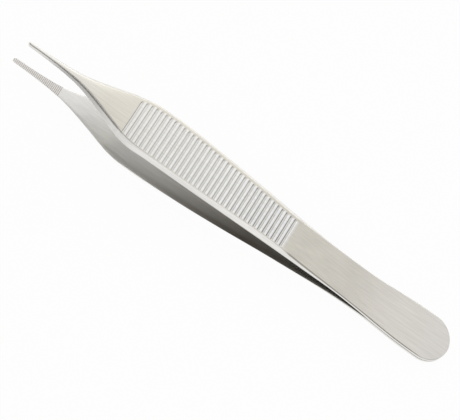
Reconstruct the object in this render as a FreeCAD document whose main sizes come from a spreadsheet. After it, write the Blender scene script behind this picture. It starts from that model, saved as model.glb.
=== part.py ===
"""Thumb forceps with slim serrated jaws and a broad ribbed grip.

Two spring arms of stainless strip are welded face to face at the heel.
Each arm is drawn in its own frame: the jaw tip at x = 0, the heel towards
+X, the weld face on z = 0 and the ribbed back towards +Z.
"""
import FreeCAD, Part
import Sketcher
import math
import os

VEC = FreeCAD.Vector
DOC = FreeCAD.newDocument("thumb_forceps")
SHEET = DOC.addObject("Spreadsheet::Sheet", "Sizes")

# Each section has its distance from the section before, half the width of the
# inner face, the slope of the sides, the height of the inner face above the
# weld face, the thickness and the crown of the back.
SECTIONS = {
    "tip": (0.66, 0.66, 0.34, 4.60, 0.76, 0.0),
    "nib": (2.84, 0.72, 0.42, 4.60, 0.76, 0.03),
    "jaw": (3.5, 0.87, 0.50, 4.60, 0.77, 0.04),
    "bite": (3.5, 1.13, 0.58, 4.60, 0.81, 0.06),
    "root": (3.5, 1.62, 0.65, 4.59, 0.92, 0.08),
    "bend": (3.0, 2.38, 0.72, 4.47, 1.10, 0.10),
    "neck": (3.0, 3.36, 0.78, 4.27, 1.30, 0.12),
    "flare": (4.0, 4.80, 0.82, 3.95, 1.55, 0.13),
    "turn": (3.5, 5.98, 0.83, 3.78, 1.69, 0.12),
    "shoulder": (4.0, 6.72, 0.74, 3.79, 1.72, 0.09),
    "crest": (4.5, 6.70, 0.55, 3.90, 1.60, 0.06),
    "thumb": (6.0, 6.62, 0.52, 3.87, 1.42, 0.05),
    "grip": (8.0, 6.42, 0.66, 3.59, 1.20, 0.05),
    "finger": (10.0, 5.98, 0.75, 3.00, 1.13, 0.05),
    "grip_end": (12.0, 5.39, 0.84, 2.08, 0.95, 0.05),
    "taper": (9.0, 5.03, 0.50, 1.42, 0.72, 0.03),
    "waist": (9.0, 4.75, 0.10, 0.78, 0.69, 0.02),
    "flex": (8.0, 4.99, 0.05, 0.16, 0.82, 0.01),
}
FIELDS = ("run", "half", "slope", "rise", "thick", "crown")

# The edges of the back are broken by this cut, which stays within the slim tip.
CUT = "min(Sizes.edge_cut; 0.7 * (Sizes.tip_half - Sizes.tip_slope))"

SIZES = {
    "weld_run": 6.0,
    "weld_half": 5.45,
    "land_run": 5.0,
    "land_half": 5.79,
    "heel_run": 5.14,
    "heel_half": 5.86,
    "heel_thick": 0.84,
    "weld_dip": 0.45,
    "edge_cut": 0.20,
    "bite_length": 13.1,
    "bite_step": 0.05,
    "tooth_count": 31,
    "tooth_pitch": 0.42,
    "tooth_width": 0.36,
    "tooth_depth": 0.15,
    "groove_count": 36,
    "groove_start": 28.35,
    "groove_pitch": 1.275,
    "groove_floor": 0.45,
    "groove_depth": 0.20,
    "groove_wall": 0.20,
    "groove_inset": 1.05,
}


def fill_sheet():
    """Writes every driving dimension into the sheet, one row each."""
    rows = [(f"{name}_{field}", value)
            for name, values in SECTIONS.items()
            for field, value in zip(FIELDS, values)]
    rows += list(SIZES.items())
    for row, (alias, value) in enumerate(rows, start=1):
        SHEET.set(f"A{row}", alias)
        SHEET.set(f"B{row}", str(value))
        SHEET.setAlias(f"B{row}", alias)
    DOC.recompute()


def size(alias):
    """Returns the present value of one sheet cell."""
    return float(getattr(SHEET, alias))


def plane(body, role):
    """Returns the origin plane of a body that has the given role."""
    return next(f for f in body.Origin.OriginFeatures if f.Role == role)


def new_sketch(body, name, role, offset=None):
    """Adds a sketch on an origin plane of the body."""
    sketch = body.newObject("Sketcher::SketchObject", name)
    sketch.AttachmentSupport = (plane(body, role), [""])
    sketch.MapMode = "FlatFace"
    if offset:
        sketch.setExpression(*offset)
    return sketch


def outline(sketch, corners):
    """Draws a closed outline through corners given as pairs of formulas.

    Each formula is the distance along X or Y from the sketch's origin, with
    a minus sign in front for the other side. Zero stands for the axis.
    """
    places = [[value(sketch, formula) for formula in corner] for corner in corners]
    count = len(corners)
    for k in range(count):
        ends = [VEC(*places[k], 0), VEC(*places[(k + 1) % count], 0)]
        sketch.addGeometry(Part.LineSegment(*ends), False)
    for k in range(count):
        sketch.addConstraint(Sketcher.Constraint("Coincident", k, 2, (k + 1) % count, 1))
    for k, corner in enumerate(corners):
        for axis, place, formula in zip("XY", places[k], corner):
            tie(sketch, k, axis, place, formula)


def value(sketch, formula):
    """Works out a formula on the sheet's cells."""
    result = sketch.evalExpression(formula)
    return float(getattr(result, "Value", result))


def tie(sketch, line, axis, place, formula):
    """Sets the start of a line at a signed distance from the origin."""
    kind = "Distance" + axis
    ends = (line, 1, -1, 1) if formula.startswith("-") else (-1, 1, line, 1)
    index = sketch.addConstraint(Sketcher.Constraint(kind, *ends, abs(place)))
    if place:
        sketch.setExpression(f"Constraints[{index}]", formula.lstrip("-"))


def section(body, name, before, low, top, half, slope="0", crown="0"):
    """Draws one cross-section with sloped sides and a crowned back.

    The section stands one run further from the tip than the one before.
    Low, top, half, slope and crown are formulas on the sheet's cells.
    """
    start = f"{before.Name}.AttachmentOffset.Base.z + " if before else ""
    offset = ("AttachmentOffset.Base.z", f"{start}1 mm * Sizes.{name}_run")
    sketch = new_sketch(body, f"{name}_section", "YZ_Plane", offset)
    shoulder, edge = f"({half} - {slope})", f"{top} - {crown}"
    right = [(half, low), (shoulder, f"{edge} - {CUT}"), (f"{shoulder} - {CUT}", edge)]
    right = [VEC(value(sketch, y), value(sketch, z), 0) for y, z in right]
    ring = right + [VEC(-point.x, point.y, 0) for point in reversed(right)]
    sides = [Part.LineSegment(ring[k], ring[(k + 1) % 6]) for k in range(6)]
    if crown != "0":
        sides[2] = Part.Arc(ring[2], VEC(0, value(sketch, top), 0), ring[3])
    for side in sides:
        sketch.addGeometry(side, False)
    for k in range(6):
        sketch.addConstraint(Sketcher.Constraint("Coincident", k, 2, (k + 1) % 6, 1))
    for k in range(3):
        sketch.addConstraint(Sketcher.Constraint("Symmetric", k, 1, 4 - k, 2, -2))
    tie(sketch, 0, "X", ring[0].x, half)
    tie(sketch, 0, "Y", ring[0].y, low)
    tie(sketch, 1, "X", ring[1].x, shoulder)
    tie(sketch, 1, "Y", ring[1].y, f"{edge} - {CUT}")
    tie(sketch, 2, "X", ring[2].x, f"{shoulder} - {CUT}")
    tie(sketch, 2, "Y", ring[2].y, edge)
    if crown != "0":
        radius = f"(({shoulder} - {CUT})^2 + {crown}^2) / (2 * {crown})"
        index = sketch.addConstraint(Sketcher.Constraint("Radius", 2, value(sketch, radius)))
        sketch.setExpression(f"Constraints[{index}]", radius)
    return sketch


def loft_strip(body):
    """Lofts the bent and tapered strip and returns its end sections."""
    sections = [None]
    for name in SECTIONS:
        half, slope, rise, thick, crown = (f"Sizes.{name}_{field}" for field in FIELDS[1:])
        if not size(f"{name}_crown"):
            crown = "0"
        sections.append(section(body, name, sections[-1], rise, f"{rise} + {thick}",
                                half, slope, crown))
    for name in ("weld", "land", "heel"):
        sections.append(section(body, name, sections[-1], "-Sizes.weld_dip", "Sizes.heel_thick",
                                f"Sizes.{name}_half"))
    loft = body.newObject("PartDesign::AdditiveLoft", "strip")
    loft.Profile = sections[1]
    loft.Sections = sections[2:]
    return sections[1], sections[-1]


def round_end(body, name, place, corners):
    """Closes the strip with a half turn of its end section."""
    offset = ("AttachmentOffset.Base.x", f"{place.Name}.AttachmentOffset.Base.z")
    sketch = new_sketch(body, f"{name}_profile", "XZ_Plane", offset)
    outline(sketch, corners)
    feature = body.newObject("PartDesign::Revolution", f"{name}_end")
    feature.Profile = sketch
    feature.ReferenceAxis = (sketch, ["V_Axis"])
    feature.Midplane = True
    feature.Angle = 180


def pocket(body, name, role, corners, depth, midplane=False):
    """Cuts an outline drawn on an origin plane into the body."""
    sketch = new_sketch(body, f"{name}_outline", role)
    outline(sketch, corners)
    feature = body.newObject("PartDesign::Pocket", name)
    feature.Profile = sketch
    feature.Midplane = midplane
    feature.setExpression("Length", depth)
    return feature


def blank(name):
    """Makes one arm without its grip grooves."""
    body = DOC.addObject("PartDesign::Body", name)
    first, last = loft_strip(body)
    back = "Sizes.tip_rise + Sizes.tip_thick"
    nose = "(Sizes.tip_half - Sizes.tip_slope)"
    round_end(body, "tip", first, [("0", "Sizes.tip_rise"), ("0", back),
                                   (f"-({nose} - {CUT})", back), (f"-{nose}", f"{back} - {CUT}"),
                                   ("-Sizes.tip_half", "Sizes.tip_rise")])
    round_end(body, "heel", last, [("0", "-Sizes.weld_dip"), ("Sizes.heel_half", "-Sizes.weld_dip"),
                                   ("Sizes.heel_half", f"Sizes.heel_thick - {CUT}"),
                                   (f"Sizes.heel_half - {CUT}", "Sizes.heel_thick"),
                                   ("0", "Sizes.heel_thick")])
    reach = f"{last.Name}.AttachmentOffset.Base.z / 1 mm + 2 * Sizes.heel_half"
    wide = "2 * Sizes.heel_half"
    pocket(body, "weld_face", "XY_Plane",
           [("0", "-" + wide), (reach, "-" + wide), (reach, wide), ("0", wide)],
           "4 mm * Sizes.weld_dip")
    face = "Sizes.tip_rise + Sizes.bite_step"
    pocket(body, "bite_face", "XZ_Plane",
           [("0", "Sizes.weld_dip"), ("Sizes.bite_length", "Sizes.weld_dip"),
            ("Sizes.bite_length", face), ("0", face)],
           "4 mm * Sizes.root_half", True)
    half = "0.5 * Sizes.tooth_width"
    first = "0.6 * Sizes.tooth_pitch"
    tooth = pocket(body, "tooth", "XZ_Plane",
                   [(f"{first} - {half}", face), (f"{first} + {half}", face),
                    (first, f"{face} + Sizes.tooth_depth")],
                   "4 mm * Sizes.root_half", True)
    teeth = body.newObject("PartDesign::LinearPattern", "teeth")
    teeth.Originals = [tooth]
    teeth.Direction = (plane(body, "X_Axis"), [""])
    teeth.setExpression("Occurrences", "Sizes.tooth_count")
    teeth.setExpression("Length", "Sizes.tooth_pitch * (Sizes.tooth_count - 1) * 1 mm")
    body.Tip = teeth
    return body


def cross_cut(shape, x):
    """Measures the height of the back and the half width of the arm at x."""
    points = [point for wire in shape.slice(VEC(1, 0, 0), x)
              for edge in wire.Edges for point in edge.discretize(12)]
    return max(point.z for point in points), max(point.y for point in points)


def slot(length, width, z):
    """Makes a wire with two straight sides along Y and rounded-off ends."""
    y, r = length / 2 - width / 2, width / 2
    bow = [(r, y), (0.5 * r, y + 0.87 * r), (-0.5 * r, y + 0.87 * r), (-r, y)]
    ring = bow + [(-a, -b) for a, b in bow]
    return Part.makePolygon([VEC(a, b, z) for a, b in ring + ring[:1]])


def grip_grooves(name, back):
    """Makes the cutters of the cross grooves, each laid on the sloping back.

    The floor of a groove runs parallel to the back and its walls lean out.
    The width and height of the back change from groove to groove, so both
    are measured on the lofted strip.
    """
    floor, depth, wall = size("groove_floor"), size("groove_depth"), size("groove_wall")
    start, pitch, count = size("groove_start"), size("groove_pitch"), round(size("groove_count"))
    stations = [cross_cut(back, start + (k - 1) * pitch / 2) for k in range(2 * count + 1)]
    cutters = []
    for k in range(count):
        before, (height, half), after = stations[2 * k:2 * k + 3]
        length = 2 * (half - size("groove_inset"))
        wires = [slot(length + 2 * wall * rise, floor + 2 * wall * rise, depth * (rise - 1))
                 for rise in (0.0, 2.0)]
        cutter = Part.makeLoft(wires, True, True)
        fall = math.degrees(math.atan2(before[0] - after[0], pitch))
        cutter.rotate(VEC(0, 0, 0), VEC(0, 1, 0), fall)
        cutter.translate(VEC(start + k * pitch, 0, height))
        cutters.append(cutter)
    feature = DOC.addObject("Part::Feature", name)
    feature.Shape = Part.Compound(cutters)
    return feature


def finished_arm(name):
    """Makes one finished arm in its own frame."""
    body = blank("blank")
    DOC.recompute()
    arm = DOC.addObject("Part::Cut", name)
    arm.Base = body
    arm.Tool = grip_grooves("grip_grooves", DOC.getObject("strip").Shape)
    arm.Label = name
    DOC.recompute()
    return arm


def facing_arm(name, arm):
    """Makes the mirror image of a laid arm in its weld face."""
    twin = DOC.addObject("Part::Mirroring", name)
    twin.Source = arm
    twin.Base = arm.Placement.Base
    twin.Normal = arm.Placement.Rotation.multVec(VEC(0, 0, 1))
    twin.Label = name
    DOC.recompute()
    return twin


def rest_angle(shape):
    """Finds the slope of a board that touches the back at crest and heel."""
    points = [point for wire in shape.slice(VEC(0, 1, 0), 0)
              for edge in wire.Edges for point in edge.discretize(40)]
    middle = (min(point.x for point in points) + max(point.x for point in points)) / 2
    low, high = 0.0, math.radians(20)
    for _ in range(40):
        angle = (low + high) / 2
        farthest = max(points, key=lambda point: point.x * math.sin(angle) + point.z * math.cos(angle))
        if farthest.x > middle:
            high = angle
        else:
            low = angle
    return angle


def lay_down(arm):
    """Lays the arm so that the pair rests on the other arm's back.

    The pair is centred on the origin, with its lowest point on z = 0.
    """
    lying = FreeCAD.Placement()
    lying.Rotation = FreeCAD.Rotation(VEC(0, 1, 0), math.degrees(rest_angle(arm.Shape)))
    over = FreeCAD.Placement(VEC(), FreeCAD.Rotation(VEC(1, 0, 0), 180))
    points = arm.Shape.tessellate(0.02)[0]
    points += [over.multVec(point) for point in points]
    points = [lying.multVec(point) for point in points]
    least, most = ([pick(point[k] for point in points) for k in range(3)] for pick in (min, max))
    lying.Base = VEC(-(least[0] + most[0]) / 2, -(least[1] + most[1]) / 2, -least[2])
    arm.Placement = lying
    DOC.recompute()


def main():
    """Builds both arms, checks every object and writes the files."""
    os.makedirs("parts", exist_ok=True)
    fill_sheet()
    upper = finished_arm("upper_arm")
    lay_down(upper)
    parts = [upper, facing_arm("lower_arm", upper)]
    for item in DOC.Objects:
        if "Invalid" in item.State or "Error" in item.State:
            raise RuntimeError(f"{item.Name} did not build")
        if hasattr(item, "Shape") and not item.isDerivedFrom("App::DatumElement"):
            if item.Shape.isNull() or not item.Shape.isValid():
                raise RuntimeError(f"{item.Name} has no sound shape")
    for part in parts:
        if len(part.Shape.Solids) != 1:
            raise RuntimeError(f"{part.Label} is not one solid")
        part.Shape.exportStep(f"parts/{part.Label}.step")
        print(part.Label, round(part.Shape.Volume, 2), "mm3")


main()
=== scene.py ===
# %% [markdown]
# # Thumb forceps in satin stainless steel
#
# Two spring arms are stamped from stainless strip, bent, ground and brushed
# along their length, and then welded face to face at the heel. The packed
# frame already holds both arms as solids. This scene draws the same arms
# again as fine surfaces, because a satin metal shows every facet, and adds
# the small rounds, the brushed grain and the light.

# %% Load the frame
import math

import bmesh
import bpy
import mathutils
import numpy as np
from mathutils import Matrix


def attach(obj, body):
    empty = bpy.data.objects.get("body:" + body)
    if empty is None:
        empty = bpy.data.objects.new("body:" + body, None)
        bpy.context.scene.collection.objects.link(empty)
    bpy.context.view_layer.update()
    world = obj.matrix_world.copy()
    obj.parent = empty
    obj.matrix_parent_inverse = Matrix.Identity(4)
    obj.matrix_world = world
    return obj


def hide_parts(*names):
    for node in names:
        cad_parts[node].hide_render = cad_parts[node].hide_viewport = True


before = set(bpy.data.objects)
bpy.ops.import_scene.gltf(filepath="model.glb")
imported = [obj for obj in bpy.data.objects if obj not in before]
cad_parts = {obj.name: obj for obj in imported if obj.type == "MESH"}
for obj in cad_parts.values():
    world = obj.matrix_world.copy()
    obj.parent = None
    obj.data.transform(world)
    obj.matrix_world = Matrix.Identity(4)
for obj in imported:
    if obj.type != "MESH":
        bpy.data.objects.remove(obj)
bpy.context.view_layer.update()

# %% [markdown]
# ## The shape of one arm
#
# The real arm tapers, leans in and bends all at once. It could be pushed into
# shape by hand from a long box, but then none of its sizes can be read or
# mended. So it is described in its own frame: x runs from the jaw tip to the
# heel, and z stands on the weld face. A few stations along x hold what a
# maker would measure with a caliper: half the width of the inner face, how
# far each side leans in, the height of the inner face, the height of the
# back at its middle, and how far the back drops to its edges. A smooth curve
# through the stations gives every section between them. All of these are in
# millimetres. The first and the last station are where the round ends start.

# %% Stations along the arm
LENGTH = 120.0
TIP_RADIUS = 0.66
HEEL_RADIUS = 5.86
STATION = np.array([0.66, 3.5, 7, 10.5, 14, 17, 20, 24, 27.5, 31.5, 36, 42,
                    50, 60, 72, 81, 90, 98, 104, 109, 114.14])
HALF = np.array([0.66, 0.72, 0.87, 1.13, 1.62, 2.38, 3.36, 4.83, 6.06, 6.82, 6.82, 6.77,
                 6.62, 6.20, 5.59, 5.20, 4.87, 5.07, 5.50, 5.80, 5.86])
LEAN = np.array([0.34, 0.42, 0.50, 0.58, 0.65, 0.78, 0.90, 1.00, 1.02, 0.86, 0.65, 0.63,
                 0.79, 0.90, 0.95, 0.54, 0.10, 0.05, 0, 0, 0])
RISE = np.array([4.65, 4.65, 4.65, 4.65, 4.59, 4.47, 4.27, 3.95, 3.78, 3.79, 3.90, 3.87,
                 3.59, 3.00, 2.08, 1.42, 0.78, 0.16, -0.30, -0.30, -0.30])
BACK = np.array([5.36, 5.36, 5.37, 5.41, 5.51, 5.57, 5.57, 5.50, 5.47, 5.51, 5.50, 5.29,
                 4.79, 4.13, 3.03, 2.14, 1.47, 0.98, 0.84, 0.84, 0.84])
CROWN = np.array([0.02, 0.03, 0.04, 0.06, 0.10, 0.14, 0.18, 0.20, 0.18, 0.12, 0.08, 0.06,
                  0.05, 0.05, 0.05, 0.03, 0.02, 0.01, 0, 0, 0])


def smooth(x, values):
    """Cubic curve through the stations, level beyond the first and the last.

    Between two stations the value blends both ends and both slopes, and each
    slope is that of the line joining the neighbours on either side.
    """
    slope = np.gradient(values, STATION)
    i = np.clip(np.searchsorted(STATION, x) - 1, 0, len(STATION) - 2)
    run = STATION[i + 1] - STATION[i]
    t = np.clip((x - STATION[i]) / run, 0, 1)
    return ((2 * t**3 - 3 * t**2 + 1) * values[i] + (t**3 - 2 * t**2 + t) * run * slope[i]
            + (3 * t**2 - 2 * t**3) * values[i + 1] + (t**3 - t**2) * run * slope[i + 1])


print("half width at the shoulder:", smooth(np.array([33.0]), HALF))

# %% [markdown]
# ## Grooves and teeth
#
# The grip is a row of cross grooves, milled with closed round ends. Each one
# has a flat floor and walls that lean out. The jaws carry fine cross teeth.
# Both could be cut out of a block with Boolean tools, as the solids do it,
# but that leaves long thin faces, which shade badly on a satin metal. Here
# they are written as a depth that is taken off the smooth surface, so that
# the same grid of points draws the arm and its cuts.

# %% Ramps, humps and rows of cuts


def ramp(x, start, end):
    """Straight line from zero at the start to one at the end, level beyond.

    The end may come before the start, and then it falls along the arm.
    """
    return np.clip((x - start) / (end - start), 0, 1)


def hump(x, middle, reach):
    """One less the distance from the middle over the reach, and never below zero."""
    return np.clip(1 - np.abs(x - middle) / reach, 0, 1)


def inside(distance, outer, blur):
    """One near the middle, falling in a straight line to zero at the outer limit.

    The blur is the length over which it falls.
    """
    return np.clip((outer - distance) / blur, 0, 1)


def nearest_cut(x, first, pitch, count):
    """Place of the nearest cut of a row: the first plus whole pitches."""
    steps = np.clip(np.round((x - first) / pitch), 0, count - 1)
    return first + steps * pitch


print("ramp from 10 to 20, at 9, 15 and 21:", ramp(np.array([9, 15, 21]), 10, 20))

# %% Grooves of the grip
GROOVE_COUNT, GROOVE_START, GROOVE_PITCH, GROOVE_DEPTH = 36, 28.66, 1.275, 0.20
FLOOR_HALF, WALL_RUN, TIP_WALL_STEEPER = 0.225, 0.19, 1.2
NEAR_MARGIN, FAR_MARGIN, MARGIN_CHANGE = 0.14, 0.78, 0.08
MARGIN_CHANGES_FROM, MARGIN_CHANGES_TO = 60, 68
NEAR_END_STRETCH, FAR_END_STRETCH = 1, 2
GROOVE_OUTER = FLOOR_HALF + WALL_RUN
GROOVE_END = GROOVE_START + (GROOVE_COUNT - 1) * GROOVE_PITCH


def groove_reach(x, y):
    """How far the grooves run out to either side at a place along the arm.

    They end a margin short of the top edge, whose place is half the width
    less the lean. The near margin is the smaller one. Towards the heel it
    grows a little, and the far one shrinks by as much.
    """
    change = MARGIN_CHANGE * ramp(x, MARGIN_CHANGES_FROM, MARGIN_CHANGES_TO)
    top = smooth(x, HALF) - smooth(x, LEAN)
    return top - np.where(y < 0, NEAR_MARGIN + change, FAR_MARGIN - change)


def groove_depth(x, y):
    """Depth of the nearest groove at each point.

    The depth is full where the distance to the groove's centre line is below
    half the floor's width, and falls in a straight line to nothing over one
    wall. Distances on the tip side count 1.2 times, which makes that wall
    steeper. The centre line stops short of the edges, so the ends come out
    round, and on the far side they run out twice as gently.
    """
    centre = nearest_cut(x, GROOVE_START, GROOVE_PITCH, GROOVE_COUNT)
    stretch = np.where(y < 0, NEAR_END_STRETCH, FAR_END_STRETCH)
    straight = groove_reach(centre, y) - GROOVE_OUTER * stretch
    across = np.maximum(np.abs(y) - straight, 0) / stretch
    along = np.where(x < centre, TIP_WALL_STEEPER * (centre - x), x - centre)
    return GROOVE_DEPTH * inside(np.hypot(along, across), GROOVE_OUTER, WALL_RUN)


print("last groove at:", round(GROOVE_END, 3), "depth on its centre line:",
      groove_depth(np.array([GROOVE_END]), np.array([0.0])))

# %% Teeth of the jaws
TOOTH_COUNT, TOOTH_PITCH, TOOTH_HALF, TOOTH_DEPTH = 31, 0.42, 0.18, 0.15
TOOTH_START = 0.6 * TOOTH_PITCH


def tooth_depth(x):
    """Depth of the V cuts: deepest on each cut's line, none between them."""
    line = nearest_cut(x, TOOTH_START, TOOTH_PITCH, TOOTH_COUNT)
    return TOOTH_DEPTH * hump(x, line, TOOTH_HALF)


print("depth of the first cut, on its line and beside it:",
      tooth_depth(TOOTH_START + np.array([0, 0.1, 0.2])))

# %% [markdown]
# ## Where the grid lines go
#
# A sharp cut can be caught by a very fine grid everywhere, or by a coarser
# one that has a line at each corner of the cut. The second way needs far
# fewer faces. So the lines of the grid are gathered from the cuts
# themselves, with a modest spacing on the plain stretches and closer lines
# round both ends.

# %% Grid lines along the arm
# Two lines, 0.025 to 0.04 mm apart, stand at each of the four corners of a
# groove and round it a little. The others lie on its floor, its walls and
# the ribs. All are measured from the groove's centre line.
ACROSS_GROOVE = np.array([-0.60, -0.47, -0.36, -0.33, -0.265, -0.20, -0.175, -0.09, 0, 0.1,
                          0.205, 0.235, 0.31, 0.395, 0.435, 0.52])
ACROSS_TOOTH = np.array([-TOOTH_HALF, 0, TOOTH_HALF])
CLOSEST_LINES = 0.004
TIP_LINES, HEEL_LINES = 9, 31
NECK_STEP, SHANK_STEP = 0.35, 0.6

grooves = GROOVE_START + GROOVE_PITCH * np.arange(GROOVE_COUNT)
teeth = TOOTH_START + TOOTH_PITCH * np.arange(TOOTH_COUNT)
groove_lines = (grooves[:, None] + ACROSS_GROOVE).ravel()
tooth_lines = (teeth[:, None] + ACROSS_TOOTH).ravel()
tip_lines = TIP_RADIUS * (1 - np.cos(np.linspace(0, math.pi / 2, TIP_LINES)))
heel_lines = LENGTH - HEEL_RADIUS + HEEL_RADIUS * np.sin(np.linspace(0, math.pi / 2, HEEL_LINES))
# The neck runs from the last tooth to the grip, and the shank on to the heel.
neck_lines = np.arange(13.3, 27.5, NECK_STEP)
shank_lines = np.arange(73.8, 114, SHANK_STEP)
lines = np.sort(np.concatenate([tip_lines, tooth_lines, neck_lines, groove_lines,
                                shank_lines, heel_lines]))
lines = lines[np.concatenate([[True], np.diff(lines) > CLOSEST_LINES])]
print("grid lines along the arm:", len(lines))

# %% [markdown]
# ## The section of one arm
#
# Every section is a ring: the flat inner face, a crisp inner edge, the
# leaning side, the rounded outer edge and the crowned back. A Bevel modifier
# could round the edges, but it would also catch on every tooth and groove.
# So the rounds are part of the ring, and the number of points on each part
# of it is the same in every section. The width shrinks to nothing along a
# circle at the tip and at the heel, which rounds both ends.

# %% Points on half a ring
FACE_POINTS, FOOT_POINTS, WALL_POINTS, TURN_POINTS = 4, 3, 5, 7
FOOT_FIRST = FACE_POINTS
WALL_FIRST = FOOT_FIRST + FOOT_POINTS
TURN_FIRST = WALL_FIRST + WALL_POINTS
BACK_FIRST = TURN_FIRST + TURN_POINTS
INNER_ROUND = 0.14
# Keeps a division by the width possible where the ends close.
SMALLEST = 1e-6
# Shares of the way from the outer edge to the middle of the back. The points
# lie closer together near the edge, where the grooves end.
BACK_SHARES = np.concatenate([np.linspace(0, 0.34, 26)[1:], np.linspace(0.34, 1, 8)[1:]])


def bow(a, b, c, t):
    """Curve that starts at a, is pulled towards b and ends at c."""
    return (1 - t)**2 * a + 2 * t * (1 - t) * b + t**2 * c


def soft_bow(start, corner, end, t):
    """Bow that is pulled only half way from its straight chord to the corner."""
    return bow(start, 0.5 * corner + 0.25 * (start + end), end, t)


def end_shrink(x):
    """Share of the width that is left on the round ends.

    It is the root of one less the square of the way into the end, measured in
    radii, which is the formula of a circle.
    """
    tip = np.clip((TIP_RADIUS - x) / TIP_RADIUS, 0, 1)
    heel = np.clip((x - LENGTH + HEEL_RADIUS) / HEEL_RADIUS, 0, 1)
    return np.sqrt(np.clip(1 - tip**2 - heel**2, 0, 1))


def half_ring(x, rounding):
    """Points (y, z) of one side of each section, from inner middle to back.

    The inner face is a straight run, the side joins it to the back, and each
    edge is a short bow. The back drops from its middle by the crown times
    the square of the share of its half width. Only the inner face and its
    edge follow the teeth. Where the arm gets narrow, the rounds shrink too.
    """
    half = (smooth(x, HALF) * end_shrink(x))[:, None]
    top = half - (smooth(x, LEAN) * end_shrink(x))[:, None]
    face = np.maximum(smooth(x, RISE), 0)[:, None]
    toothed = face + tooth_depth(x)[:, None]
    back = smooth(x, BACK)[:, None]
    crown = smooth(x, CROWN)[:, None]
    edge = back - crown

    length = np.hypot(half - top, face - edge)
    down_y, down_z = (half - top) / length, (face - edge) / length
    outer = np.minimum(rounding[:, None], 0.6 * top)
    inner = np.minimum(INNER_ROUND, 0.3 * half)

    share = np.linspace(0, 1, FACE_POINTS + 1)[:-1]
    face_y = (half - inner) * share
    face_z = toothed + 0 * face_y
    t = np.linspace(0, 1, FOOT_POINTS)
    foot_y = bow(half - inner, half, half - down_y * inner, t)
    foot_z = bow(toothed, toothed, face - down_z * inner, t)
    t = inner / length + (1 - (outer + inner) / length) * np.linspace(0.08, 0.92, WALL_POINTS)
    wall_y = half + (top - half) * t
    wall_z = face + (edge - face) * t
    t = np.linspace(0, 1, TURN_POINTS)
    turn_end = back - crown * (1 - outer / np.maximum(top, SMALLEST))**2
    turn_y = soft_bow(top + down_y * outer, top, top - outer, t)
    turn_z = soft_bow(edge + down_z * outer, edge, turn_end, t)
    back_y = (top - outer) * (1 - BACK_SHARES)
    back_z = back - crown * (back_y / np.maximum(top, SMALLEST))**2
    return (np.concatenate([face_y, foot_y, wall_y, turn_y, back_y], axis=1),
            np.concatenate([face_z, foot_z, wall_z, turn_z, back_z], axis=1))


print("points on half a ring:", half_ring(np.array([50.0]), np.array([0.3]))[0].shape[1])

# %% Both sides of a ring
# Pairs of a place along the arm and the size of the outer edge's round there.
# The near edge is polished rounder at the neck and crisper along the grip.
FAR_EDGE = ((6, 0.12), (20, 0.30), (76, 0.30), (84, 0.20))
NEAR_EDGE = ((6, 0.16), (20, 0.42), (26, 0.38), (29, 0.10), (74, 0.10), (76, 0.26), (90, 0.20))


def through(x, pairs):
    """Straight lines through pairs of a place and a value, level beyond them."""
    places, values = np.transpose(pairs)
    return np.interp(x, places, values)


def full_ring(x):
    """Every section as one closed loop that starts at the inner middle.

    The near side has the sign of its y changed and leaves out the two middle
    points. The third result is each point's number of steps from the inner
    middle, counted the shorter way round.
    """
    far_y, far_z = half_ring(x, through(x, FAR_EDGE))
    near_y, near_z = half_ring(x, through(x, NEAR_EDGE))
    y = np.concatenate([far_y, -near_y[:, -2:0:-1]], axis=1)
    z = np.concatenate([far_z, near_z[:, -2:0:-1]], axis=1)
    steps = np.arange(y.shape[1])
    return y, z, np.minimum(steps, y.shape[1] - steps)


print("points on a full ring:", len(full_ring(np.array([50.0]))[2]))

# %% [markdown]
# ## Marks for the tints
#
# On the real steel the ribs catch a highlight, the groove walls lie in shade,
# and light reaches the space between the arms only after several bounces. A
# picture could be painted on the arm to show that, but it would be tied to
# one size of picture. Instead each point of the surface carries marks,
# numbers from zero to about one that say which part of the arm it lies on.
# The material reads them and blends its tints by them, up to a full blend, so
# the ribs, the groove walls, the near edge, the bend of the neck and the space
# between the arms get painted highlight, painted light and painted shade.

# %% Ribs and shaded walls
RIB_CENTRE, RIB_HALF = 0.64, 0.32
LIP_CENTRE, LIP_HALF = 0.42, 0.16
RIB_END_MARGIN, RIB_BLUR = 0.3, 0.1
STEEP_CENTRE, STEEP_HALF, STEEP_BLUR = -0.265, 0.13, 0.06
FOOT_CENTRE, FOOT_HALF, FOOT_BLUR, FOOT_SHARE = 0.205, 0.11, 0.08, 0.35
SHADE_END_MARGIN, LEAST_SHADE = 0.15, 0.12
SHADE_GROWS_FROM, SHADE_GROWS_TO = 48, 68
SHADE_PER_MM, FULL_SHADE_AT, MOST_SHADE = 0.06, -2, 1.2


def rib_crest(x, y):
    """One on the ribs between the grooves, fading out at their round ends.

    A rib lies on the heel side of its groove. The last one is only the lip
    of the last groove, so it is narrow.
    """
    groove = nearest_cut(x - RIB_CENTRE, GROOVE_START, GROOVE_PITCH, GROOVE_COUNT)
    is_lip = groove > GROOVE_END - GROOVE_PITCH / 2
    centre = groove + np.where(is_lip, LIP_CENTRE, RIB_CENTRE)
    across = np.maximum(np.abs(y) - (groove_reach(centre, y) - RIB_END_MARGIN), 0)
    return inside(np.hypot(x - centre, across), np.where(is_lip, LIP_HALF, RIB_HALF), RIB_BLUR)


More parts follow.
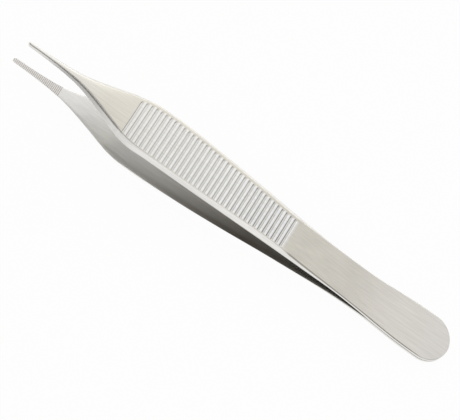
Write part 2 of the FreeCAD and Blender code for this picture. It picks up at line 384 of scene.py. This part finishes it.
def groove_shade(x, y):
    """Share of shade on the steep wall and at the foot of the other wall.

    The steep wall is on the tip side of its groove. Its shade grows from
    little near the neck to full in the heel half of the grip. The foot has
    about a third of full shade all along. Both grow by 6 percent for each
    millimetre towards the near side.
    """
    groove = nearest_cut(x, GROOVE_START, GROOVE_PITCH, GROOVE_COUNT)
    off = x - groove
    growth = LEAST_SHADE + (1 - LEAST_SHADE) * ramp(x, SHADE_GROWS_FROM, SHADE_GROWS_TO)
    steep = inside(np.abs(off - STEEP_CENTRE), STEEP_HALF, STEEP_BLUR) * growth
    foot = inside(np.abs(off - FOOT_CENTRE), FOOT_HALF, FOOT_BLUR) * FOOT_SHARE
    nearer = np.clip(1 - SHADE_PER_MM * (y - FULL_SHADE_AT), 0, MOST_SHADE)
    in_groove = np.abs(y) < groove_reach(groove, y) - SHADE_END_MARGIN
    return np.maximum(steep, foot) * nearer * in_groove


print("shade on the last steep wall:",
      groove_shade(np.array([GROOVE_END + STEEP_CENTRE]), np.array([0.0])).round(2))

# %% Marks of the zones
# Where the painted shade between the arms grows, and how far out it reaches.
DEEP_SHADE_FROM, DEEP_SHADE_TO, DEEP_SHADE_HALF_WIDTH = 33, 66, 6.2
# Where the painted light on the inner face of the bend lies.
BEND_LIGHT_CENTRE, BEND_LIGHT_REACH = 27, 6
LAST_TOOTH, TOOTH_FADE = 13.1, 0.1
JAW_FROM, JAW_TO = 10, 22
WAIST_CENTRE, WAIST_REACH = 92, 22
HEEL_FROM, HEEL_TO = 85, 115
# How the painted highlight on the ribs grows along the grip.
RIB_LEAST, RIB_GROWS_FROM, RIB_GROWS_TO = 0.6, 30, 70
# Pairs of a place along the arm and the shade of the near edge of the back.
NEAR_SHADE = ((8, 0.4), (20, 0.1), (27.6, 0.1), (28.4, 0), (74, 0), (76, 0.9), (112, 0.9), (118, 0))


def zone_marks(x, y, ring):
    """Marks from zero to about one for each part of the arm.

    The inner mark fades over the points of the inner edge, and the side mark
    over three points at either end of the side. The deep mark, painted shade
    between the arms, grows with the power 1.1 of the way along the space
    between the arms, and with the fourth power of the distance from the middle.
    The edge mark, painted shade on the near edge, follows half a sine wave over
    the turn.
    """
    on_back = ring >= TURN_FIRST
    inner = 0 * y + np.clip((WALL_FIRST - ring) / FOOT_POINTS, 0, 1)
    side = 0 * y + np.clip(np.minimum(ring - FOOT_FIRST, TURN_FIRST + 4 - ring) / 3, 0, 1)
    turned = np.sin(np.pi * ramp(ring, TURN_FIRST - 1, BACK_FIRST))
    rib_highlight_share = RIB_LEAST + (1 - RIB_LEAST) * ramp(x, RIB_GROWS_FROM, RIB_GROWS_TO)
    outward = 0.5 + 0.5 * ramp(np.abs(y), 0, DEEP_SHADE_HALF_WIDTH)**4
    return {
        "cut": groove_depth(x, y) * on_back / GROOVE_DEPTH,
        # Painted highlight on the ribs, growing towards the heel.
        "rib": rib_crest(x, y) * on_back * rib_highlight_share,
        "shade": groove_shade(x, y) * on_back,
        "inner": inner,
        "side": side,
        # Painted shade between the arms, darker towards the heel and the edges.
        "deep_shade": inner * ramp(x, DEEP_SHADE_FROM, DEEP_SHADE_TO)**1.1 * outward,
        # Painted light on the inner face where the neck bends.
        "bend": inner * hump(x, BEND_LIGHT_CENTRE, BEND_LIGHT_REACH),
        "tooth": inner * ramp(x, LAST_TOOTH + TOOTH_FADE, LAST_TOOTH),
        "jaw": (1 - inner) * ramp(x, JAW_TO, JAW_FROM),
        "waist": on_back * hump(x, WAIST_CENTRE, WAIST_REACH),
        "heel": on_back * ramp(x, HEEL_FROM, HEEL_TO),
        # Painted shade on the near edge of the back.
        "edge": (y < 0) * turned * through(x, NEAR_SHADE),
    }


print("shade of the near edge at 20 and 90 mm:", through(np.array([20, 90]), NEAR_SHADE))

# %% Points and marks of one arm
GROOVE_SLANT = 0.045
GRIP_FROM, GRIP_TO, SLANT_FADE = 27.5, 75.0, 0.6


def arm_points(x):
    """Full rings with the grooves taken off, as an array of (x, y, z).

    Along the grip each ring slants, by 0.045 mm along the arm for each mm
    across it, and the slant fades out at both ends of the grip.
    """
    y, z, ring = full_ring(x)
    x = np.broadcast_to(x[:, None], y.shape)
    depth = groove_depth(x, y) * (ring >= TURN_FIRST)
    slanted = np.clip(np.minimum(x - GRIP_FROM, GRIP_TO - x) / SLANT_FADE, 0, 1)
    moved = x + GROOVE_SLANT * y * slanted
    return np.stack([moved, y, z - depth], axis=2), zone_marks(x, y, ring)


points, marks = arm_points(lines)
print("points on one arm:", points.shape[:2], "lowest and highest z:",
      points[..., 2].min().round(3), points[..., 2].max().round(3))
print("marks:", list(marks))

# %% [markdown]
# ## Lay the arms down
#
# The forceps rests on the back of its lower arm, which touches the table at
# the crest of the grip and at the heel. The arms could be drawn level and
# turned as objects, but a finished piece keeps its place in its mesh, so
# every point is turned and shifted by the same amount as in the solids. The
# lower arm is the upper one seen in a mirror that lies in the weld face, so
# its faces are wound the other way.

# %% Turn the grids into two objects
REST_TILT = math.asin(0.0571656)
REST_SHIFT = np.array([-59.8035, 0.0, 7.6871])


def lay(points):
    """Turns points by the rest tilt about Y, shifts them and gives metres.

    The new x is x cos + z sin, and the new z is z cos - x sin.
    """
    c, s = math.cos(REST_TILT), math.sin(REST_TILT)
    x, y, z = points[..., 0], points[..., 1], points[..., 2]
    return (np.stack([x * c + z * s, y, z * c - x * s], axis=-1) + REST_SHIFT) / 1000


def grid_object(name, points, marks, flip):
    """Makes a closed tube from rings of points.

    Face (i, j) joins points j and j + 1 of ring i to those of ring i + 1, and
    after the last point comes the first again. The UV map runs once round the
    ring and once along the arm, so that the metal knows which way it was
    brushed.
    """
    rings, around = points.shape[:2]
    i = np.arange(rings - 1)[:, None]
    j = np.arange(around)[None, :]
    k = (j + 1) % around
    quads = np.stack([i * around + j, (i + 1) * around + j,
                      (i + 1) * around + k, i * around + k], axis=-1).reshape(-1, 4)
    across = np.stack([j + 0 * i, k + 0 * i + (k == 0) * around], axis=-1) / around
    along = np.stack([i + 0 * j, i + 1 + 0 * j], axis=-1) / rings
    corners = np.stack([across[..., 0], along[..., 0], across[..., 0], along[..., 1],
                        across[..., 1], along[..., 1], across[..., 1], along[..., 0]],
                       axis=-1).reshape(-1, 4, 2)
    if flip:
        quads = quads[:, ::-1]
        corners = corners[:, ::-1]
    mesh = bpy.data.meshes.new(name)
    mesh.from_pydata(lay(points).reshape(-1, 3), [], quads.tolist())
    for mark, values in marks.items():
        layer = mesh.attributes.new(mark, "FLOAT", "POINT")
        layer.data.foreach_set("value", values.ravel().astype(np.float32))
    grain = mesh.uv_layers.new(name="grain")
    grain.data.foreach_set("uv", corners.ravel().astype(np.float32))
    mesh.polygons.foreach_set("use_smooth", np.ones(len(quads), dtype=bool))
    tube = bpy.data.objects.new(name, mesh)
    bpy.context.scene.collection.objects.link(tube)
    return tube


upper = grid_object("upper_arm_finish", points, marks, True)
lower = grid_object("lower_arm_finish", points * [1, 1, -1], marks, False)
print("faces on each arm:", len(upper.data.polygons), len(lower.data.polygons))

# %% Close the ends and take the place of the solids
# Lengths in metres, and the angle in degrees.
MERGE_WITHIN = 2e-7
THINNEST_EDGE = 1e-8
SHARP_ANGLE = 28


def close_ends(obj):
    """Merges the points that meet at the tip and at the heel.

    Edges that turn by more than the sharp angle stay crisp in the shading.
    """
    work = bmesh.new()
    work.from_mesh(obj.data)
    bmesh.ops.remove_doubles(work, verts=work.verts, dist=MERGE_WITHIN)
    bmesh.ops.dissolve_degenerate(work, edges=work.edges, dist=THINNEST_EDGE)
    volume = work.calc_volume(signed=True)
    open_edges = sum(not edge.is_manifold for edge in work.edges)
    work.to_mesh(obj.data)
    work.free()
    obj.data.set_sharp_from_angle(angle=math.radians(SHARP_ANGLE))
    print(obj.name, "volume in mm3:", round(volume * 1e9, 1), "open edges:", open_edges)


for piece, node in ((upper, "upper_arm"), (lower, "lower_arm")):
    close_ends(piece)
    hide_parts(node)
    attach(piece, "root")

# %% [markdown]
# ## The steel
#
# Forceps are usually made of martensitic stainless steel, ground and then
# brushed along their length. That gives the eye a soft, slightly warm grey
# with fine lengthwise lines, and a gleam that is stretched across them. The
# real scratches are about 0.03 mm wide, too fine for the picture, so they
# are drawn about 0.35 mm apart. An image of brushed metal would do as well,
# but noise that is stretched along the arm has no seams and stays sharp.

# %% Colour and node helpers


def linear_colour(text):
    """Turns an sRGB hex value into the linear colour that nodes expect.

    Each part up to 0.04045 is divided by 12.92. Above it, the part plus 0.055
    is divided by 1.055 and raised to the power 2.4.
    """
    parts = [int(text[k:k + 2], 16) / 255 for k in (1, 3, 5)]
    return [p / 12.92 if p <= 0.04045 else ((p + 0.055) / 1.055) ** 2.4 for p in parts] + [1.0]


def add(tree, kind, links=None, **settings):
    """Adds a node, sets its own settings and sockets, and links its inputs."""
    node = tree.nodes.new(kind)
    for name, value in settings.items():
        if name in node.bl_rna.properties:
            setattr(node, name, value)
        else:
            node.inputs[name.replace("_", " ")].default_value = value
    for name, source in (links or {}).items():
        tree.links.new(source, node.inputs[name])
    return node


print("mid grey in linear light:", [round(part, 3) for part in linear_colour("#808080")])

# %% Brushed stainless steel
STEEL = "#d6d2c8"
# Each mark blends in its tint over those before it.
TINTS = (
    ("waist", "#cdc9c0"),  # back between the grip and the heel
    ("heel", "#d3d0cb"),   # back at the heel
    ("jaw", "#e6e4dd"),    # sides and back of the jaw
    ("side", "#f0eeea"),   # sides, where the steel looks cooler
    ("edge", "#8f8c80"),   # near edge of the back, painted shade
    ("inner", "#dfdedb"),  # inner face
    ("bend", "#e8e7e3"),   # painted light on the inner face where the neck bends
    ("deep_shade", "#746d60"),   # painted shade on the inner face between the arms
    ("tooth", "#e0ddda"),  # teeth
    ("cut", "#d8d7d3"),    # grooves
    ("rib", "#eeeeef"),    # painted highlight on the ribs between them
    ("shade", "#918f8c"),  # steep groove walls
)
# Streaks are 1 / 130 m = 7.7 mm long and stand 1 / 2900 m = 0.345 mm apart.
STREAK_SCALE = (130, 2900, 2900)
# Specks in the grooves are 1 / 6000 m = 0.17 mm wide.
SPECK_SCALE = 6000.0
ROUGHNESS, ANISOTROPY = 0.3, 0.75


def brushed_stainless(name):
    """Satin stainless steel, brushed along the length of the arms."""
    material = bpy.data.materials.new(name)
    material.use_nodes = True
    tree = material.node_tree
    shader = tree.nodes["Principled BSDF"]
    shader.inputs["Metallic"].default_value = 1.0
    shader.inputs["Roughness"].default_value = ROUGHNESS
    shader.inputs["Anisotropic"].default_value = ANISOTROPY
    across = add(tree, "ShaderNodeTangent", direction_type="UV_MAP", uv_map="grain")
    tree.links.new(across.outputs["Tangent"], shader.inputs["Tangent"])

    # The pattern is turned back to the arm's own frame and then stretched.
    place = add(tree, "ShaderNodeTexCoord")
    turned = add(tree, "ShaderNodeMapping", {"Vector": place.outputs["Object"]},
                 Rotation=(0, -REST_TILT, 0))
    stretched = add(tree, "ShaderNodeMapping", {"Vector": turned.outputs["Vector"]},
                    Scale=STREAK_SCALE)
    grain = add(tree, "ShaderNodeTexNoise", {"Vector": stretched.outputs["Vector"]},
                Scale=1.0, Detail=2.0, Roughness=0.5)
    speck = add(tree, "ShaderNodeTexNoise", {"Vector": turned.outputs["Vector"]},
                Scale=SPECK_SCALE, Detail=1.0)

    colour = add(tree, "ShaderNodeRGB")
    colour.outputs["Color"].default_value = linear_colour(STEEL)
    colour = colour.outputs["Color"]
    for mark, tint in TINTS:
        share = add(tree, "ShaderNodeAttribute", attribute_name=mark)
        mixed = add(tree, "ShaderNodeMix", {"Factor": share.outputs["Fac"], "A": colour},
                    data_type="RGBA")
        mixed.inputs["B"].default_value = linear_colour(tint)
        colour = mixed.outputs["Result"]
    tone = add(tree, "ShaderNodeMapRange", {"Value": grain.outputs["Fac"]},
               From_Min=0.3, From_Max=0.7, To_Min=0.92, To_Max=1.03)
    streaked = add(tree, "ShaderNodeVectorMath", {0: colour, 1: tone.outputs["Result"]},
                   operation="MULTIPLY")
    tree.links.new(streaked.outputs["Vector"], shader.inputs["Base Color"])

    # The streaks stand 0.006 mm high at most, and the specks 0.06 mm.
    cut = add(tree, "ShaderNodeAttribute", attribute_name="cut").outputs["Fac"]
    dots = add(tree, "ShaderNodeMath", {0: speck.outputs["Fac"], 1: cut}, operation="MULTIPLY")
    brushed = add(tree, "ShaderNodeBump", {"Height": grain.outputs["Fac"]},
                  Strength=0.15, Distance=0.000006)
    pitted = add(tree, "ShaderNodeBump", {"Height": dots.outputs["Value"],
                                          "Normal": brushed.outputs["Normal"]},
                 Strength=0.5, Distance=0.00006)
    tree.links.new(pitted.outputs["Normal"], shader.inputs["Normal"])
    return material


satin = brushed_stainless("satin_brushed_stainless_steel")
for piece in (upper, lower):
    piece.data.materials.append(satin)
print("material:", satin.name)

# %% [markdown]
# ## The white floor
#
# Product pictures are taken on white paper. More light on the paper would
# make it white, but it would also wash out the steel. So the floor glows by
# itself towards the camera and in reflections, and only there. The small
# share of it that stays plain paper keeps a faint shadow of the forceps.

# %% White paper
PAPER = "#f7f7f5"
PAPER_GLOW = 0.95
PAPER_SIZE, PAPER_GAP = 6, 0.00002

bpy.ops.mesh.primitive_plane_add(size=PAPER_SIZE, location=(0, 0, -PAPER_GAP))
floor = bpy.context.object
floor.name = "floor"
paper = bpy.data.materials.new("white_paper")
paper.use_nodes = True
tree = paper.node_tree
tree.nodes.clear()
ray = add(tree, "ShaderNodeLightPath")
seen = add(tree, "ShaderNodeMath", {0: ray.outputs["Is Camera Ray"],
                                    1: ray.outputs["Is Glossy Ray"]}, operation="MAXIMUM")
share = add(tree, "ShaderNodeMath", {0: seen.outputs["Value"]}, operation="MULTIPLY")
share.inputs[1].default_value = PAPER_GLOW
matt = add(tree, "ShaderNodeBsdfDiffuse", Color=linear_colour(PAPER))
glow = add(tree, "ShaderNodeEmission", Color=(1, 1, 1, 1), Strength=1.0)
both = add(tree, "ShaderNodeMixShader", {"Fac": share.outputs["Value"],
                                         1: matt.outputs["BSDF"],
                                         2: glow.outputs["Emission"]})
add(tree, "ShaderNodeOutputMaterial", {"Surface": both.outputs["Shader"]})
floor.data.materials.append(paper)
print("floor with", len(tree.nodes), "nodes, glow share:", PAPER_GLOW)

# %% [markdown]
# ## Surroundings
#
# A satin metal shows what stands around it. The steel mirrors a pale room
# that is dimmer beyond the heel and brighter beyond the jaws, and the
# rounded edge of the neck mirrors one dark thing. Boards and lamps could be
# placed to give the same, but their light would be noisy. So the world is
# white, and three soft round patches of it are set to other levels in
# reflections only. What really stood there isn't known.

# %% Patches of the room
# Direction of the patch, the angles from it in degrees at which the change
# starts and ends, and the level inside.
DIM_PATCH = ((-0.12, -0.73, 0.68), 29, 14, 0.05)
HEEL_PATCH = ((1, 0.25, 0.1), 65, 25, 0.55)
JAW_PATCH = ((-1, 0.35, 0.25), 60, 25, 1.2)
ROOM_LIGHT = 0.75

world = bpy.data.worlds.new("white_room")
bpy.context.scene.world = world
world.use_nodes = True
tree = world.node_tree
tree.nodes.clear()
facing = add(tree, "ShaderNodeTexCoord").outputs["Generated"]


def patch(direction, wide, tight, level):
    """Goes from one to the level as a ray turns towards the direction.

    The cosine of the angle between the two is their dot product, and a
    smooth step runs between the cosines of the wide and the tight angle.
    """
    length = math.sqrt(sum(d * d for d in direction))
    dot = add(tree, "ShaderNodeVectorMath", {0: facing}, operation="DOT_PRODUCT")
    dot.inputs[1].default_value = [d / length for d in direction]
    return add(tree, "ShaderNodeMapRange", {"Value": dot.outputs["Value"]},
               interpolation_type="SMOOTHSTEP",
               From_Min=math.cos(math.radians(wide)), From_Max=math.cos(math.radians(tight)),
               To_Min=1.0, To_Max=level).outputs["Result"]


def times(one, two):
    """Product of two levels."""
    return add(tree, "ShaderNodeMath", {0: one, 1: two}, operation="MULTIPLY").outputs["Value"]


room = times(patch(*DIM_PATCH), times(patch(*HEEL_PATCH), patch(*JAW_PATCH)))
ray = add(tree, "ShaderNodeLightPath")
seen = add(tree, "ShaderNodeMix", {"Factor": ray.outputs["Is Glossy Ray"], "B": room},
           A=ROOM_LIGHT)
white = add(tree, "ShaderNodeMix", {"Factor": ray.outputs["Is Camera Ray"],
                                    "A": seen.outputs["Result"]}, B=1.0)
glow = add(tree, "ShaderNodeBackground", {"Strength": white.outputs["Result"]},
           Color=(1, 1, 1, 1))
add(tree, "ShaderNodeOutputWorld", {"Surface": glow.outputs["Background"]})
print("world with", len(tree.nodes), "nodes, plain light:", ROOM_LIGHT)

# %% Lamp on the far side
LAMP_PLACE, LAMP_SIZE, LAMP_WATTS = (0.15, 0.95, 0.5), 0.5, 0.9

soft_box = bpy.data.lights.new("far_side", "AREA")
soft_box.size = LAMP_SIZE
soft_box.energy = LAMP_WATTS
lamp = bpy.data.objects.new("far_side", soft_box)
bpy.context.scene.collection.objects.link(lamp)
lamp.location = LAMP_PLACE
lamp.rotation_euler = mathutils.Vector(LAMP_PLACE).to_track_quat("Z", "Y").to_euler()
print("lamp:", lamp.name, "at", LAMP_PLACE)

# %% [markdown]
# ## The camera
#
# The angles, the roll and the distance are those of the photograph. They
# could be set by eye, but a fit to the outline of both arms is surer. It was
# made on the forceps in its own symmetric pose, with the weld face level, so
# the camera takes the same rest tilt and shift as the arms.

# %% Camera
PICTURE = (460, 420)
CENTRE = (236.45, 203.1)
AZIMUTH, ELEVATION, ROLL = (math.radians(a) for a in (-18.34, 58.03, 50.89))
DISTANCE, SCALE, SENSOR = 736.0, 4.396, 36

# The middle of the arms is seen at the pixel CENTRE. DISTANCE is in
# millimetres, and SCALE in pixels per millimetre.
backward = np.array([math.sin(AZIMUTH) * math.cos(ELEVATION),
                     -math.cos(AZIMUTH) * math.cos(ELEVATION), math.sin(ELEVATION)])
side = np.cross(-backward, [0, 0, 1])
side = side / np.linalg.norm(side)
rise = np.cross(side, -backward)
right = math.cos(ROLL) * side + math.sin(ROLL) * rise
up = -math.sin(ROLL) * side + math.cos(ROLL) * rise
eye = (DISTANCE * backward - (CENTRE[0] - PICTURE[0] / 2) / SCALE * right
       + (CENTRE[1] - PICTURE[1] / 2) / SCALE * up + np.array([LENGTH / 2, 0, 0]))

camera = bpy.data.objects.new("camera", bpy.data.cameras.new("camera"))
bpy.context.scene.collection.objects.link(camera)
pose = mathutils.Matrix.Identity(4)
for k, axis in enumerate((right, up, backward)):
    pose.col[k] = (*(lay(axis * 1000) - lay(np.zeros(3))), 0)
pose.col[3] = (*lay(eye), 1)
camera.matrix_world = pose
camera.data.sensor_width = SENSOR
camera.data.lens = SCALE * DISTANCE * SENSOR / PICTURE[0]
camera.data.clip_start = 0.01
bpy.context.scene.camera = camera
bpy.context.scene.view_settings.view_transform = "Standard"
print("lens in mm:", round(camera.data.lens, 1), "camera at", camera.location)
